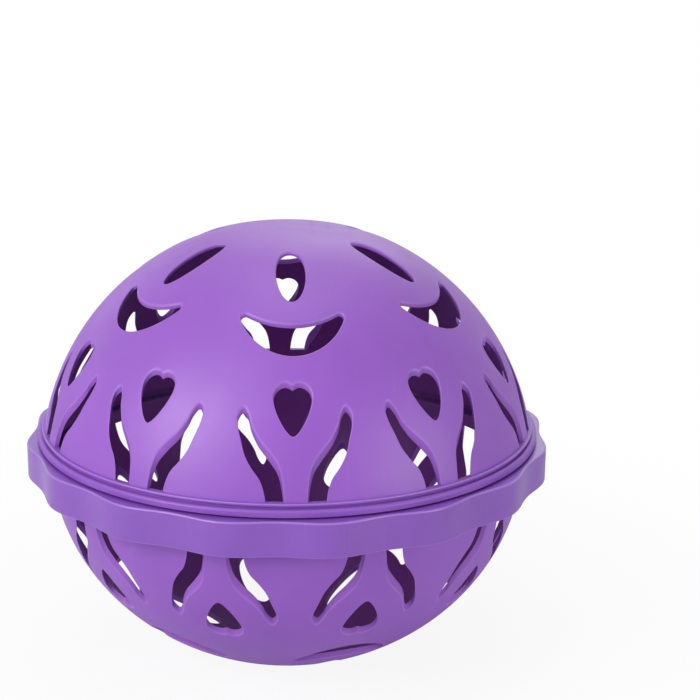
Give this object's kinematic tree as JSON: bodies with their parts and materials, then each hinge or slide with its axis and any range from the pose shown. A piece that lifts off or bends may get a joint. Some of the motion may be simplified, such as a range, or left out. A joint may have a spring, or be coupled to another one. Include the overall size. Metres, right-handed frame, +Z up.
{
  "type": "delicates wash ball",
  "caption": "Hollow pierced ball that shields delicate laundry in a washing machine; its half shells close with a twist lock at a scalloped grip collar.",
  "frame": {"origin": "centre of the flat foot under the lower shell", "axes": "+Z up along the ball's axis from the lower to the upper shell, -Y towards the upper shell's tree of openings that faces the viewer, +X to the viewer's right"},
  "size_m": [0.178, 0.178, 0.15],
  "materials": {
    "purple_lower": "satin moulded polypropylene",
    "purple_upper": "satin moulded polypropylene"
  },
  "bodies": {
    "lower": {"lower_shell": "purple_lower"},
    "upper": {"upper_shell": "purple_upper"}
  },
  "joints": [
    {"name": "lift", "type": "slide", "parent": "lower", "child": "upper", "axis": [0, 0, 1], "range_m": [0, 0.1]}
  ]
}
